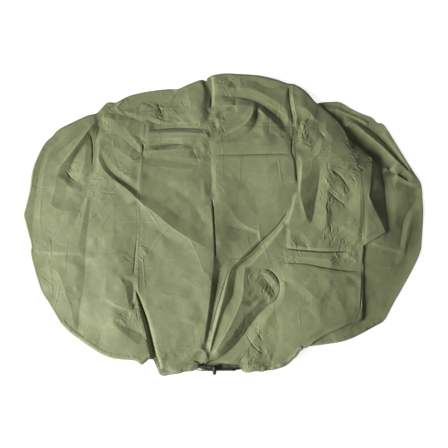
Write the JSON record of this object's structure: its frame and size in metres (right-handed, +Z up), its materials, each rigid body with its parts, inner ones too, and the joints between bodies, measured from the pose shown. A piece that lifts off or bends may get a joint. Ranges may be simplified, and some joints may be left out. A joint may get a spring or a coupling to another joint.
{
  "type": "grill cover",
  "caption": "Soft box-shaped cover for a small gas grill, laid flat, with a drawcord hem round its open mouth and a sprung cord lock.",
  "frame": {"origin": "middle of the base of the cover as it lies on a table", "axes": "+X across the front to the right, +Y from the open mouth to the cover's top, +Z up out of the front"},
  "size_m": [1.453, 1.0958, 0.0712],
  "materials": {
    "cloth": "satin olive coated polyester",
    "hem": "satin olive coated polyester, gathered",
    "tape": "woven binding tape",
    "cord": "braided polyester cord",
    "lock_plastic": "moulded black plastic",
    "spring_steel": "bright spring wire"
  },
  "bodies": {
    "cover": {"front_panel": "cloth", "back_panel": "cloth", "left_side_panel": "cloth", "right_side_panel": "cloth", "top_panel": "cloth", "front_hem_casing": "hem", "back_hem_casing": "hem", "left_hem_casing": "hem", "right_hem_casing": "hem", "front_left_seam_tape": "tape", "front_right_seam_tape": "tape", "back_left_seam_tape": "tape", "back_right_seam_tape": "tape", "front_top_seam_tape": "tape", "back_top_seam_tape": "tape", "left_top_seam_tape": "tape", "right_top_seam_tape": "tape", "drawcord": "cord"},
    "cord_lock": {"cord_lock_barrel": "lock_plastic", "cord_lock_spring": "spring_steel"},
    "button": {"cord_lock_button": "lock_plastic"}
  },
  "joints": [
    {"name": "cord_lock_slide", "type": "slide", "parent": "cover", "child": "cord_lock", "axis": [1, 0, 0], "range_m": [0, 0.045]},
    {"name": "button_press", "type": "slide", "parent": "cord_lock", "child": "button", "axis": [0, 1, 0], "range_m": [0, 0.0035], "stiffness_N_per_m": 800, "springref_m": -0.003, "deforming": ["cord_lock_spring"]}
  ]
}
